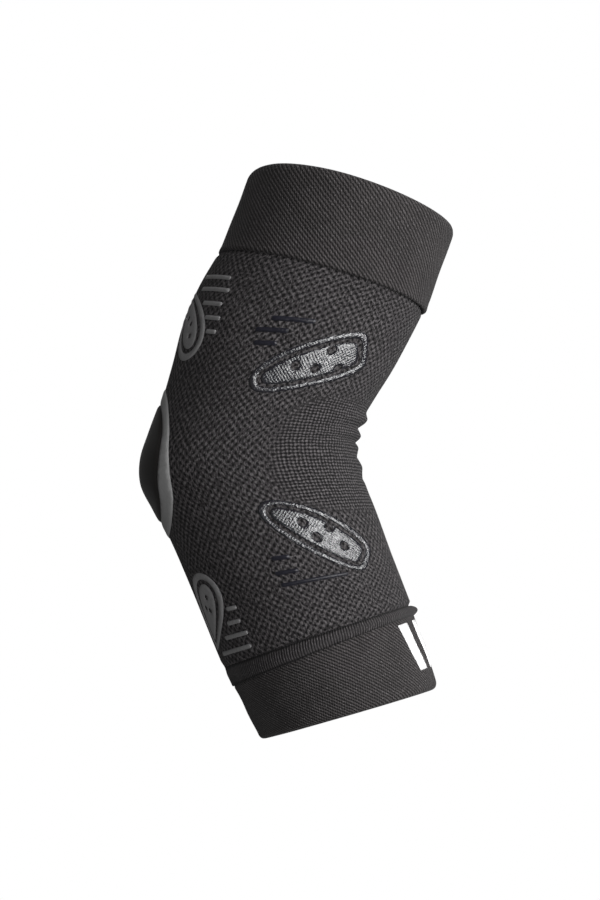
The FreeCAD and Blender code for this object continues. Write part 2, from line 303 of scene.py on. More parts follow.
class Shader:
    """A short way to write a node material. Each call adds a node and returns its output."""

    def __init__(self, name):
        self.material = bpy.data.materials.new(name)
        self.material.use_nodes = True
        self.tree = self.material.node_tree
        self.surface = self.tree.nodes["Principled BSDF"]

    def node(self, kind, sockets=None, **settings):
        made = self.tree.nodes.new("ShaderNode" + kind)
        for key, value in settings.items():
            setattr(made, key, value)
        for key, value in (sockets or {}).items():
            self.put(made.inputs[key], value)
        return made

    def put(self, socket, value):
        """Links a socket's output, or sets a plain value."""
        if isinstance(value, bpy.types.NodeSocket):
            self.tree.links.new(value, socket)
        elif socket.type == "VECTOR":
            socket.default_value = tuple(value)[:3]
        else:
            socket.default_value = value

    def math(self, operation, *values):
        return self.node("Math", dict(enumerate(values)), operation=operation).outputs[0]

    def add(self, a, b):
        return self.math("ADD", a, b)

    def mul(self, a, b):
        return self.math("MULTIPLY", a, b)

    def wave(self, value, pitch, phase=0.0):
        """cos of one turn per pitch."""
        turn = self.math("MULTIPLY_ADD", value, 2 * math.pi / pitch, phase)
        return self.math("COSINE", turn)

    def step(self, value, low, high, to_low=0.0, to_high=1.0):
        """Eases from to_low to to_high while the value goes from low to high."""
        made = self.node("MapRange", {"Value": value, "From Min": low, "From Max": high, "To Min": to_low,
                                      "To Max": to_high}, interpolation_type="SMOOTHSTEP")
        return made.outputs[0]

    def mix(self, factor, a, b):
        """Colour a at factor 0 and colour b at factor 1. A Mix node's colour sockets are 6, 7 and 2."""
        made = self.node("Mix", data_type="RGBA")
        self.put(made.inputs[0], factor)
        self.put(made.inputs[6], a)
        self.put(made.inputs[7], b)
        return made.outputs[2]

    def scale(self, vector, factor):
        return self.node("VectorMath", {0: vector, "Scale": factor}, operation="SCALE").outputs[0]

    def fabric_axes(self, wander=0.0, size=6.0):
        """The place on the fabric, and its (round, along) parts, in millimetres from the piece's UV map.

        The place wanders off by a part of wander, differently every size millimetres.
        """
        place = self.scale(self.node("UVMap", uv_map="knit").outputs[0], UV_SCALE)
        if wander:
            sockets = {"Vector": place, "Scale": 1.0 / size, "Detail": 2.0}
            noise = self.node("TexNoise", sockets).outputs["Color"]
            centred = self.node("VectorMath", {0: noise, 1: (0.5, 0.5, 0.5)}, operation="SUBTRACT")
            shift = self.scale(centred.outputs[0], wander)
            place = self.node("VectorMath", {0: place, 1: shift}, operation="ADD").outputs[0]
        split = self.node("SeparateXYZ", {0: place})
        return place, split.outputs[0], split.outputs[1]

    def noise(self, vector, scale, detail=2.0, stretch=(1, 1, 1), roughness=0.5):
        """Noise centred on 0.5. A stretch above 1 makes it finer that way."""
        mapped = self.node("Mapping", {"Vector": vector, "Scale": stretch}).outputs[0]
        return self.node("TexNoise", {"Vector": mapped, "Scale": scale, "Detail": detail,
                                      "Roughness": roughness}).outputs["Fac"]

    def finish(self, colour, roughness, height=None, depth=0.2, strength=0.6, **fixed):
        """Fills in the surface and returns the material. fixed gives other sockets' plain values."""
        self.put(self.surface.inputs["Base Color"], colour)
        self.put(self.surface.inputs["Roughness"], roughness)
        for key, value in fixed.items():
            self.surface.inputs[key.replace("_", " ")].default_value = value
        if height is not None:
            made = self.node("Bump", {"Height": height, "Strength": strength, "Distance": depth * MM})
            self.put(self.surface.inputs["Normal"], made.outputs[0])
        return self.material


def rgb(r, g, b):
    return (r, g, b, 1.0)


def mottle(s, axes, colour, share=0.16, size=14.0):
    """The colour, a little lighter and darker over patches of fabric."""
    patch = s.step(s.noise(axes, 1.0 / size, 3.0), 0.3, 0.7, 1.0 - share, 1.0 + share)
    return s.scale(colour, patch)


def knit_material(name, base, hole, light):
    """Mesh knit: rows of small holes, each row half a step from the next, with streaky loops between them.

    The holes are coloured dark as painted shade, and the loops lighter as painted highlight.
    Where the mesh's attribute crook is 1, it is a finer squared knit instead, with painted shade in its lines
    and painted highlight on its knots.
    """
    s = Shader(name)
    axes, u, v = s.fabric_axes(wander=1.2, size=2.6)
    across = s.wave(u, MESH_PITCH_ROUND)
    lattice = s.mul(s.mul(across, s.math("ABSOLUTE", across)), s.wave(v, MESH_PITCH_ALONG))
    yarn = s.noise(axes, 1.0, 3.0, (1.25, 0.6, 1.0), 0.8)
    loose = s.math("MULTIPLY_ADD", yarn, 2.0, -1.0)
    # Painted shade: the holes are coloured dark.
    holes = s.step(s.add(lattice, s.mul(loose, -0.8)), 0.05, 0.6)
    # Painted highlight: the loops between the holes are coloured lighter.
    fleck = s.step(s.add(s.mul(lattice, -0.2), loose), -0.06, 0.34)
    zone = s.node("Attribute", attribute_name="crook").outputs["Fac"]
    outside = s.math("SUBTRACT", 1.0, zone)
    grid = s.add(s.mul(s.wave(v, CROOK_PITCH_ALONG), 0.7), s.mul(s.wave(u, CROOK_PITCH_ROUND), 0.6))
    # The crook's grid lines take painted shade and its knots painted highlight.
    lines = s.step(s.add(grid, s.mul(loose, -1.3)), 0.0, 0.9)
    knots = s.step(s.add(s.mul(grid, -0.4), loose), 0.0, 0.5)
    holes = s.add(s.mul(holes, outside), s.mul(lines, zone))
    fleck = s.add(s.mul(fleck, outside), s.mul(knots, zone))
    height = s.add(s.mul(holes, -1.1), s.mul(loose, 0.8))
    # Painted highlight on the loops, then painted shade in the holes.
    colour = s.mix(s.mul(fleck, 0.72), mottle(s, axes, base), light)
    colour = s.mix(s.mul(holes, 0.95), colour, hole)
    return s.finish(colour, 0.95, height, depth=0.34, strength=0.85, Sheen_Weight=0.05, Sheen_Roughness=0.5,
                    Specular_IOR_Level=0.2)


def twill_material(name, base, line, light, pitch, rise, stitch, band=None):
    """Cuff knit: fine lines at this rise from level, broken up by stitches.

    A band this tall has painted shade in a dark line along each edge.
    """
    s = Shader(name)
    axes, u, v = s.fabric_axes(wander=0.8, size=3.0)
    angle = math.radians(rise)
    across = s.add(s.mul(u, math.sin(angle)), s.mul(v, math.cos(angle)))
    yarn = s.noise(axes, 1.1, 3.0, (1.3, 0.7, 1.0), 0.8)
    lines = s.add(s.wave(across, pitch), s.mul(s.wave(s.add(u, s.mul(v, 0.35)), stitch), 0.5))
    lines = s.add(lines, s.math("MULTIPLY_ADD", yarn, 2.2, -1.1))
    dark = s.step(lines, -0.4, 0.7)
    fleck = s.step(s.math("MULTIPLY_ADD", lines, -0.05, yarn), 0.53, 0.72)
    height = s.add(s.mul(lines, -0.45), s.mul(yarn, 1.0))
    colour = s.mix(s.mul(dark, 0.85), mottle(s, axes, base, 0.12), line)
    colour = s.mix(s.mul(fleck, 0.75), colour, light)
    if band:
        # Painted shade: a dark line along each edge of the band.
        off = s.math("ABSOLUTE", s.math("SUBTRACT", v, band / 2))
        edge_shade = s.step(off, band / 2 - EDGE_SHADE_START, band / 2 - EDGE_SHADE_FULL, 0.0, 0.9)
        colour = s.mix(edge_shade, colour, line)
    return s.finish(colour, 0.95, height, depth=0.26, strength=0.8, Sheen_Weight=0.06, Sheen_Roughness=0.5,
                    Specular_IOR_Level=0.2)


def silicone_material(name, base, worn, roughness, texture, strength=0.5, ior=1.45):
    """A silicone print that follows the knit below it, so its shine breaks up into short streaks."""
    s = Shader(name)
    axes, u, v = s.fabric_axes(wander=1.0, size=2.6)
    lattice = s.mul(s.wave(u, 1.7), s.wave(v, 1.6))
    grain = s.noise(axes, 0.75, 3.0, (1.6, 0.7, 1.0), 0.7)
    height = s.add(s.mul(lattice, 0.2 * texture), s.mul(grain, 1.3 * texture))
    colour = s.mix(s.step(grain, 0.38, 0.6), base, worn)
    return s.finish(colour, roughness, height, depth=0.34, strength=strength, Specular_IOR_Level=0.8, IOR=ior)


def plain_knit_material(name, base, light, pitch=0.9, depth=0.08):
    """Smooth stretch knit: very fine ribs along the arm."""
    s = Shader(name)
    axes, u, _ = s.fabric_axes(wander=0.2, size=5.0)
    ribs = s.wave(u, pitch)
    yarn = s.noise(axes, 1.8, 2.0, (1.4, 0.6, 1.0))
    height = s.add(s.mul(ribs, 0.4), yarn)
    colour = s.mix(s.mul(s.step(yarn, 0.5, 0.8), 0.35), mottle(s, axes, base, 0.1), light)
    return s.finish(colour, 0.8, height, depth, strength=0.5, Sheen_Weight=0.08, Sheen_Roughness=0.4,
                    Specular_IOR_Level=0.3)


def foam_material(name, base):
    s = Shader(name)
    axes, _, _ = s.fabric_axes()
    cells = s.node("TexVoronoi", {"Vector": axes, "Scale": 1.1}).outputs["Distance"]
    return s.finish(mottle(s, axes, base), 0.95, cells, depth=0.2, strength=0.6)


def webbing_material(name, base, light):
    s = Shader(name)
    axes, u, v = s.fabric_axes()
    weave = s.mul(s.wave(u, 1.4), s.wave(v, 2.0))
    colour = s.mix(s.step(weave, 0.0, 1.0), base, light)
    return s.finish(colour, 0.85, weave, depth=0.25, strength=0.6, Specular_IOR_Level=0.3)


CHARCOAL = rgb(0.0205, 0.0187, 0.0196)
# DEEP is painted shade in the mesh knit's holes and along the roll's edges, and the colour of the dark lines
# of the cuff and roll knits. PALE is painted highlight on the mesh knit's loops, and the colour of the flecks
# of the cuff and roll knits.
DEEP = rgb(0.004, 0.0037, 0.004)
PALE = rgb(0.130, 0.122, 0.125)

mesh_knit = knit_material("mesh_knit", CHARCOAL, DEEP, PALE)
inner_knit = plain_knit_material("inner_knit", rgb(0.022, 0.021, 0.022), rgb(0.05, 0.048, 0.05))
upper_twill = twill_material("upper_cuff_knit", rgb(0.040, 0.0365, 0.0365), DEEP, PALE,
                             pitch=1.46, rise=36.0, stitch=1.1)
lower_twill = twill_material("lower_cuff_knit", rgb(0.042, 0.0385, 0.0385), DEEP, PALE,
                             pitch=1.35, rise=-41.0, stitch=1.2)
# The roll's knit has painted shade along its two edges.
roll_knit = twill_material("roll_knit", rgb(0.040, 0.037, 0.038), DEEP, PALE,
                           pitch=1.3, rise=80.0, stitch=1.3, band=ROLL_HEIGHT)
thread = plain_knit_material("seam_thread", rgb(0.012, 0.012, 0.013), rgb(0.04, 0.04, 0.04), pitch=0.5)
pad_knit = plain_knit_material("pad_cover_knit", rgb(0.016, 0.0150, 0.0145), rgb(0.03, 0.028, 0.027),
                               pitch=0.7, depth=0.04)
pad_foam = foam_material("pad_foam", rgb(0.045, 0.045, 0.05))
pad_lining = plain_knit_material("pad_lining_knit", rgb(0.018, 0.018, 0.019), rgb(0.04, 0.04, 0.042),
                                 pitch=1.2, depth=0.1)
elastic = webbing_material("elastic_webbing", rgb(0.012, 0.012, 0.012), rgb(0.03, 0.03, 0.03))
print_black = silicone_material("print_black", rgb(0.004, 0.004, 0.007), rgb(0.007, 0.007, 0.012),
                                roughness=0.21, texture=1.0, strength=1.0, ior=1.8)
print_dull = silicone_material("print_dull", rgb(0.004, 0.004, 0.008), rgb(0.007, 0.007, 0.013),
                               roughness=0.4, texture=1.0, strength=0.6, ior=1.4)
# Painted reflection: the rear prints are the same black print as the side ones, coloured grey for the white
# room that a glossy print shows at a grazing angle. Both of its colours stand in for that reflection.
print_rear_painted_reflection = silicone_material("print_rear_painted_reflection", rgb(0.145, 0.143, 0.145), rgb(0.18, 0.178, 0.18),
                               roughness=0.4, texture=0.4)
band_grey = silicone_material("band_grey", rgb(0.24, 0.24, 0.24), rgb(0.27, 0.27, 0.27),
                              roughness=0.7, texture=0.15, strength=0.3)
mark_white = silicone_material("mark_white", rgb(0.80, 0.80, 0.80), rgb(0.70, 0.70, 0.70),
                               roughness=0.6, texture=0.3, strength=0.3)

# ---------------------------------------------------------------- mesh making


def make_object(name, points, faces, uvs, material, crook=None):
    """One object from points in metres, faces and one (round, along) pair in millimetres per face corner.

    crook is how far each point lies inside the crook's knit, from 0 to 1.
    """
    mesh = bpy.data.meshes.new(name)
    mesh.from_pydata([tuple(p) for p in points], [], faces)
    layer = mesh.uv_layers.new(name="knit")
    layer.data.foreach_set("uv", (np.asarray(uvs, np.float32) / UV_SCALE).ravel())
    mesh.polygons.foreach_set("use_smooth", [True] * len(mesh.polygons))
    if crook is not None:
        zone = mesh.attributes.new("crook", "FLOAT", "POINT")
        zone.data.foreach_set("value", np.asarray(crook, np.float32))
    mesh.materials.append(material)
    mesh.update()
    obj = bpy.data.objects.new(name, mesh)
    bpy.context.scene.collection.objects.link(obj)
    return obj


def face_outward(obj):
    """Makes the closed mesh's faces point outward."""
    bm = bmesh.new()
    bm.from_mesh(obj.data)
    bmesh.ops.recalc_face_normals(bm, faces=bm.faces)
    bm.to_mesh(obj.data)
    bm.free()
    return obj


def make_sleeve(name, tube, profile, height, material, inner=None, steps=ROUND_STEPS, crook=None):
    """A closed fabric wall round the arm.

    profile is a closed loop of (along, lift, whether it is inside), down the outside and up the inside.
    height is the fabric's height for one step of along. The inside's material is inner, if there is one.
    """
    azimuths = np.arange(steps) * 360.0 / steps
    along = np.array([p[0] for p in profile])[:, None]
    lift = np.array([p[1] for p in profile])[:, None]
    points = tube.at(along, azimuths[None, :], lift).reshape(-1, 3)
    rows = len(profile)
    v_of = [p[0] * height for p in profile]
    faces, uvs, is_inner = [], [], []
    for k in range(rows):
        n = (k + 1) % rows
        for j in range(steps):
            m = (j + 1) % steps
            faces.append((k * steps + j, k * steps + m, n * steps + m, n * steps + j))
            u0, u1 = j * KNIT_GIRTH / steps, (j + 1) * KNIT_GIRTH / steps
            uvs += [(u0, v_of[k]), (u1, v_of[k]), (u1, v_of[n]), (u0, v_of[n])]
            is_inner.append(1 if profile[k][2] and profile[n][2] else 0)
    zone = None
    if crook is not None:
        grid = (rows, steps)
        zone = crook(np.broadcast_to(along, grid), np.broadcast_to(azimuths, grid)).ravel()
    obj = make_object(name, points, faces, uvs, material, zone)
    if inner is not None:
        obj.data.materials.append(inner)
        obj.data.polygons.foreach_set("material_index", is_inner)
    return face_outward(obj)


def wall_profile(low, high, thickness, rows, fold_low, fold_high):
    """A wall's closed loop from along=high down to low on the outside, and back up the inside.

    Its edges are round, and each fold is how much of along the round takes up.
    """
    first, last = low + fold_low, high - fold_high
    outside = [(a, 0.0, False) for a in np.linspace(last, first, rows)]
    inside = [(a, -thickness, True) for a in np.linspace(first, last, max(rows // 2, 8))]
    turn = []
    for i in range(1, 6):
        angle = math.pi * i / 6
        turn.append((math.sin(angle), -thickness * (1 - math.cos(angle)) / 2))
    bottom = [(first - fold_low * reach, lift, False) for reach, lift in turn]
    top = [(last + fold_high * reach, -thickness - lift, False) for reach, lift in turn]
    return outside + bottom + inside + top


def inside_polygon(points, polygon):
    """Whether each point lies inside, by counting the edges to its right."""
    x, y = points[:, 0], points[:, 1]
    inside = np.zeros(len(points), bool)
    for (x0, y0), (x1, y1) in zip(polygon, np.roll(polygon, -1, 0)):
        if y0 == y1:
            continue
        crosses = ((y0 > y) != (y1 > y)) & (x < (x1 - x0) * (y - y0) / (y1 - y0) + x0)
        inside ^= crosses
    return inside


def even_loop(points, spacing):
    """The closed loop's points again, evenly spaced."""
    closed = np.vstack([points, points[:1]])
    run = np.concatenate([[0], np.cumsum(np.linalg.norm(np.diff(closed, axis=0), axis=1))])
    count = max(8, int(round(run[-1] / spacing)))
    want = np.arange(count) * run[-1] / count
    return np.stack([np.interp(want, run, closed[:, i]) for i in (0, 1)], -1)


def edge_distance(points, loops):
    """How far each point lies from the nearest of the closed loops."""
    best = np.full(len(points), 1e9)
    for loop in loops:
        a, b = loop, np.roll(loop, -1, 0)
        d = b - a
        t = np.einsum("pij,ij->pi", points[:, None] - a[None], d) / np.maximum((d * d).sum(1), 1e-12)
        near = a[None] + np.clip(t, 0, 1)[..., None] * d[None]
        best = np.minimum(best, np.linalg.norm(points[:, None] - near, axis=-1).min(1))
    return best


ROW_SHARE = 0.87  # rows of even triangles are this share of their side apart
EDGE_SHARE = 0.35  # a thin piece's thickness at its very edge, as a share of the whole


def flat_mesh(outline, holes, spacing, edge_step):
    """The points, triangles and edge loops of a flat shape with holes, fine along its edges."""
    loops = [even_loop(np.asarray(loop, float), edge_step) for loop in [outline, *holes]]
    low, high = loops[0].min(0), loops[0].max(0)
    rows = []
    for i, y in enumerate(np.arange(low[1], high[1] + spacing, spacing * ROW_SHARE)):
        xs = np.arange(low[0] - (i % 2) * spacing / 2, high[0] + spacing, spacing)
        rows.append(np.stack([xs, np.full(len(xs), y)], -1))
    inner = np.vstack(rows)
    inner = inner[inside_polygon(inner, loops[0])]
    for hole in loops[1:]:
        inner = inner[~inside_polygon(inner, hole)]
    inner = inner[edge_distance(inner, loops) > edge_step * 0.8]
    points, edges, first = [], [], 0
    for loop in loops:
        points.append(loop)
        n = len(loop)
        edges += [(first + i, first + (i + 1) % n) for i in range(n)]
        first += n
    points = np.vstack(points + [inner])
    made = delaunay_2d_cdt([Vector(p) for p in points], edges, [], 0, 1e-6)
    flat = np.array([tuple(p) for p in made[0]])
    triangles = np.array([f for f in made[2] if len(f) == 3])
    centres = flat[triangles].mean(1)
    keep = inside_polygon(centres, loops[0])
    for hole in loops[1:]:
        keep &= ~inside_polygon(centres, hole)
    triangles = triangles[keep]
    used, back = np.unique(triangles, return_inverse=True)
    return flat[used], back.reshape(-1, 3), loops


def make_patch(name, place, outline, holes, thickness, material, spacing=1.6, edge_step=0.8, round_over=0.7,
               sink=0.25, crown=None):
    """A thin piece that lies on a surface, where place(points, lift) says.

    Its face rounds over towards its edges, crown(points) raises it further, and it sinks into the surface a
    little.
    """
    flat, triangles, loops = flat_mesh(outline, holes, spacing, edge_step)
    rim = np.clip(edge_distance(flat, loops) / round_over, 0, 1)
    lift = thickness * (EDGE_SHARE + (1 - EDGE_SHARE) * np.sqrt(rim * (2 - rim)))
    if crown is not None:
        lift = lift + crown(flat)
    top = place(flat, lift)
    bottom = place(flat, np.full(len(flat), -sink))
    n = len(flat)
    faces = [tuple(t) for t in triangles] + [tuple(n + t[::-1]) for t in triangles]
    sides = {}
    for t in triangles:
        for a, b in ((t[0], t[1]), (t[1], t[2]), (t[2], t[0])):
            sides[(a, b)] = True
    faces += [(a, n + a, n + b, b) for a, b in sides if (b, a) not in sides]
    corner = np.vstack([flat, flat])
    uvs = [tuple(corner[i]) for f in faces for i in f]
    return face_outward(make_object(name, np.vstack([top, bottom]), faces, uvs, material))


def fit(obj, body, slot, *nodes):
    """Says which body a piece moves with, or both, and which CAD nodes it stands for. The slot is not used.
    """
    if body == "both":
        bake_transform(obj)
    else:
        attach(obj, body)
    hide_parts(*nodes)


# ---------------------------------------------------------------- the knit and the cuffs

CROOK_HALF_SPAN, CROOK_LEAN = 81.0, -22.0  # degrees each way from the front, and its change per course
CROOK_MIDDLE, CROOK_HALF_HEIGHT = -0.03, 0.37  # courses
ELASTIC_OUTER, ELASTIC_INNER = 0.95, 1.45  # how far in the elastic's two faces lie
ELASTIC_LOW, ELASTIC_HIGH = 0.05, 0.93  # of the cuff's height
HEM_OVERLAP = 0.10  # of the lower cuff's height, under the roll
STITCHES = 120  # round a linking seam
STITCH_STEPS = 8  # points along one stitch
STITCH_SWING, STITCH_HUMP = 0.006, 0.25  # how far the thread swings, in courses, and rises
THREAD_RADIUS, THREAD_SIDES = 0.32, 6
THREAD_LIFT = -2.0  # inside the knit
SEAM_COURSE = 0.985


def crook_zone(course, azimuth):
    """Where the mesh gives way to the fine squared knit in the crook: 1 inside, 0 outside."""
    across = np.abs(azimuth - 180.0) / (CROOK_HALF_SPAN + CROOK_LEAN * course)
    reach = (across**4 + np.abs((course - CROOK_MIDDLE) / CROOK_HALF_HEIGHT) ** 4) ** 0.25
    return 1.0 - smooth(0.86, 1.04, reach)


def build_knit():
    outside = [(c, 0.0, False) for c in np.linspace(1.0, -1.0, 330)]
    inside = [(c, -KNIT, True) for c in np.linspace(-1.0, 1.0, 150)]
    obj = make_sleeve("knit_body", KNIT_TUBE, outside + inside, KNIT_LENGTH / 2, mesh_knit, inner_knit,
                      crook=crook_zone)
    fit(obj, "both", "mesh_knit", "upper_arm_tube", "forearm_tube", "crook_panel", "elbow_back_panel")


def build_cuff(name, tube, height, body, material, low):
    """Two plies folded over at the rim, from along=low up to the rim, with an elastic between them."""
    profile = wall_profile(low, 1.0, CUFF, 56, fold_low=0.018, fold_high=0.03)
    welt = make_sleeve(f"{name}_cuff_welt", tube, profile, height, material)
    fit(welt, body, "cuff_knit", f"{name}_cuff_welt")
    band = [(a, -ELASTIC_OUTER, False) for a in np.linspace(ELASTIC_HIGH, ELASTIC_LOW, 24)]
    band += [(a, -ELASTIC_INNER, False) for a in np.linspace(ELASTIC_LOW, ELASTIC_HIGH, 24)]
    ring = make_sleeve(f"{name}_cuff_elastic", tube, band, height, elastic, steps=ROUND_STEPS // 2)
    fit(ring, body, "elastic", f"{name}_cuff_elastic")


def build_seam_thread(name, course, body):
    """A linking seam: one thread that zigzags round the inside of the knit."""
    count = STITCHES * STITCH_STEPS
    turns = np.arange(count)
    azimuth = turns * 360.0 / count
    swing = np.sin(2 * math.pi * turns / STITCH_STEPS)
    hump = np.cos(4 * math.pi * turns / STITCH_STEPS)
    path = KNIT_TUBE.at(course + STITCH_SWING * swing, azimuth, THREAD_LIFT + STITCH_HUMP * hump) / MM
    ahead = np.roll(path, -1, 0) - np.roll(path, 1, 0)
    ahead /= np.linalg.norm(ahead, axis=1, keepdims=True)
    out = KNIT_TUBE.normal(np.full(count, course), azimuth)
    side = np.cross(ahead, out)
    side /= np.linalg.norm(side, axis=1, keepdims=True)
    up = np.cross(side, ahead)
    rings = []
    for k in range(THREAD_SIDES):
        angle = 2 * math.pi * k / THREAD_SIDES
        rings.append(path + THREAD_RADIUS * (side * math.cos(angle) + up * math.sin(angle)))
    points = np.stack(rings, 1).reshape(-1, 3) * MM
    faces, uvs = [], []
    patch = 0.3  # each face's share of the knit pattern
    for i in range(count):
        here, there = i * THREAD_SIDES, (i + 1) % count * THREAD_SIDES
        for k in range(THREAD_SIDES):
            m = (k + 1) % THREAD_SIDES
            faces.append((here + k, here + m, there + m, there + k))
            low_u, low_v = k * patch, i * patch
            high_u, high_v = low_u + patch, low_v + patch
            uvs += [(low_u, low_v), (high_u, low_v), (high_u, high_v), (low_u, high_v)]
    fit(face_outward(make_object(name, points, faces, uvs, thread)), body, "seam_thread", name)


def build_roll():
    profile = wall_profile(0.0, 1.0, ROLL, 26, fold_low=0.02, fold_high=0.02)
    obj = make_sleeve("forearm_roll", ROLL_TUBE, profile, ROLL_HEIGHT, roll_knit, inner_knit)
    fit(obj, FOREARM, "mesh_knit", "forearm_roll")


# ---------------------------------------------------------------- the elbow pad

PAD_Z = -5.4  # height of the pad's middle above the bend axis
PAD_RADIUS = 26.2
PAD_COVER = 0.9  # thickness of the cover
ELBOW_REACH = 0.75  # courses above and below the elbow that the pad's pieces stay within
HALVINGS = 34  # of that stretch, which find a course very closely
PAD_CROWN = 0.55  # how much the cover swells over the core
PLUMP_FRAMES = 16
PLUMP_PRESSURE = 3.0
PLUMP_MOST = 0.5  # the furthest that the cloth moves a point
SEWN_EDGE = 1.5  # width of the cover's edge that stays put
BAND_INNER, BAND_OUTER = 26.5, 33.4
BAND_THICKNESS = 0.5
BAND_WIDTH_SHARE, BAND_TAPER = 0.95, 0.0034  # its width for its height, and what it loses per mm upward
CORE_RADIUS, CORE_THICKNESS, CORE_DEPTH = 24.0, 1.5, 2.9
LINING_RADIUS, LINING_THICKNESS, LINING_DEPTH = 26.0, 0.5, 3.5


def on_elbow(points, lift):
    """Places flat points (y, z), as seen from behind, on the back of the elbow.

    The course at each height is found by halving the stretch that holds it.
    """
    y, z = points[:, 0], points[:, 1] + PAD_Z
    low, high = np.full(len(y), -ELBOW_REACH), np.full(len(y), ELBOW_REACH)
    for _ in range(HALVINGS):
        middle = (low + high) / 2
        half = KNIT_TUBE.section(middle)[4]
        azimuth = np.degrees(np.arcsin(np.clip(-y / half, -1, 1)))
        above = KNIT_TUBE.bare(middle, azimuth)[:, 2] > z
        high, low = np.where(above, middle, high), np.where(above, low, middle)
    return KNIT_TUBE.at(middle, azimuth, lift)


def circle(radius, count=96):
    angle = np.arange(count) * 2 * math.pi / count
    return np.stack([radius * np.cos(angle), radius * np.sin(angle)], -1)


def plump(obj, firm_share):
    """Swells a closed pad with cloth under pressure, and then lets no point move more than PLUMP_MOST."""
    rest = np.array([v.co for v in obj.data.vertices])
    group = obj.vertex_groups.new(name="held")
    for i, share in enumerate(firm_share):
        if share > 0:
            group.add([i], float(share), "REPLACE")
    cloth = obj.modifiers.new("cloth", "CLOTH")
    cloth.settings.vertex_group_mass = "held"
    cloth.settings.effector_weights.gravity = 0.0
    cloth.settings.use_pressure = True
    cloth.settings.uniform_pressure_force = PLUMP_PRESSURE
    cloth.settings.quality = 5
    cloth.point_cache.frame_start, cloth.point_cache.frame_end = 1, PLUMP_FRAMES
    for frame_number in range(1, PLUMP_FRAMES + 1):
        bpy.context.scene.frame_set(frame_number)
    evaluated = obj.evaluated_get(bpy.context.evaluated_depsgraph_get())
    swollen = np.array([v.co for v in evaluated.data.vertices])
    obj.modifiers.remove(cloth)
    obj.vertex_groups.remove(group)
    bpy.context.scene.frame_set(1)
    move = np.nan_to_num(swollen - rest)
    size = np.linalg.norm(move, axis=1, keepdims=True)
    move *= np.minimum(1.0, PLUMP_MOST * MM / np.maximum(size, 1e-12))
    obj.data.vertices.foreach_set("co", (rest + move).ravel())
    obj.data.update()


def build_cover():
    def crown(flat):
        share = np.linalg.norm(flat, axis=1) / PAD_RADIUS
        return PAD_CROWN * np.clip(1 - share**2, 0, 1)

    cover = make_patch("elbow_pad_cover", on_elbow, circle(PAD_RADIUS), [], PAD_COVER, pad_knit,
                       spacing=1.3, edge_step=1.1, round_over=2.4, sink=0.2, crown=crown)
    top_count = len(cover.data.vertices) // 2
    flat_y = np.array([v.co.y for v in cover.data.vertices]) / MM
    flat_z = (np.array([v.co.z for v in cover.data.vertices]) - HINGE[2]) / MM - PAD_Z
    away = np.hypot(flat_y, flat_z)
    underneath = np.arange(len(away)) >= top_count
    plump(cover, np.where(underneath | (away > PAD_RADIUS - SEWN_EDGE), 1.0, 0.0))
    fit(cover, "both", "pad_cover", "elbow_pad_cover")


def build_band():
    """The grey band round the cover, which narrows upward."""
    rim = circle(BAND_OUTER, 128)
    rim[:, 0] *= BAND_WIDTH_SHARE - BAND_TAPER * rim[:, 1]
    band = make_patch("elbow_pad_ring", on_elbow, rim, [circle(BAND_INNER, 128)], BAND_THICKNESS, band_grey,
                      spacing=1.5, edge_step=0.9, round_over=0.6)
    fit(band, "both", "pad_ring", "elbow_pad_ring")


def build_pad_inside():
    """The soft core and the lining behind it."""
    def inside(depth):
        return lambda points, lift: on_elbow(points, lift - depth)

    core = make_patch("elbow_pad_core", inside(CORE_DEPTH), circle(CORE_RADIUS), [], CORE_THICKNESS,
                      pad_foam, spacing=1.8, edge_step=1.4, round_over=2.0, sink=0.0)
    fit(core, "both", "pad_core", "elbow_pad_core")
    lining = make_patch("elbow_pad_lining", inside(LINING_DEPTH), circle(LINING_RADIUS), [],
                        LINING_THICKNESS, pad_lining, spacing=1.8, edge_step=1.4, round_over=1.0, sink=0.1)
    fit(lining, "both", "pad_lining", "elbow_pad_lining")


# ---------------------------------------------------------------- prints

PRINT = 0.42  # thickness of a print
BAR_WIDTH = 2.0
MARK = 0.3  # thickness of the mark on the cuff
MARK_AZIMUTH, MARK_ALONG = 159.5, 0.38  # its middle on the lower cuff
MARK_MM_PER_DEGREE = 0.745  # round the lower cuff
MARK_TALL, MARK_WIDE = 20.0, 7.6  # of one of its two bars
MARK_LEAN = 6.0  # how far a bar's top lies from over its foot
MARK_SPREAD = 7.2  # from the middle to each bar


def outline(half_length, width_at, count=96):
    """A closed outline along u, whose half width at each angle round it is width_at(angle)."""
    angle = (np.arange(count) + 0.5) * 2 * math.pi / count
    return np.stack([-half_length * np.cos(angle), np.sign(np.sin(angle)) * width_at(angle)], -1)


def teardrop(half_length, half_width):
    """Pointed at -u and round at +u."""
    def width_at(angle):
        return 1.25 * half_width * np.abs(np.sin(angle)) * np.abs(np.sin(angle / 2)) ** 0.9

    return outline(half_length, width_at)


def egg(half_length, half_width):
    """Round at -u and nearly square at +u."""
    def width_at(angle):
        blunt = np.abs(np.sin(angle)) ** (0.55 + 0.2 * np.cos(angle))
        return half_width * blunt * (0.86 - 0.14 * np.cos(angle))

    return outline(half_length, width_at)


def turned(points, degrees):
    """Flat points, turned from u towards v."""
    c, s = math.cos(math.radians(degrees)), math.sin(math.radians(degrees))
    points = np.asarray(points, float).reshape(-1, 2)
    return np.stack([points[:, 0] * c - points[:, 1] * s, points[:, 0] * s + points[:, 1] * c], -1)


def bar_outline(start, height, length, tilt):
    """A bar with cut corners that runs from (start, height) at this tilt from level."""
    h, r = BAR_WIDTH / 2, BAR_WIDTH / 4
    corners = [(r, -h), (length - r, -h), (length, -h + r), (length, h - r),
               (length - r, h), (r, h), (0, h - r), (0, -h + r)]
    return turned(corners, tilt) + (start, height)


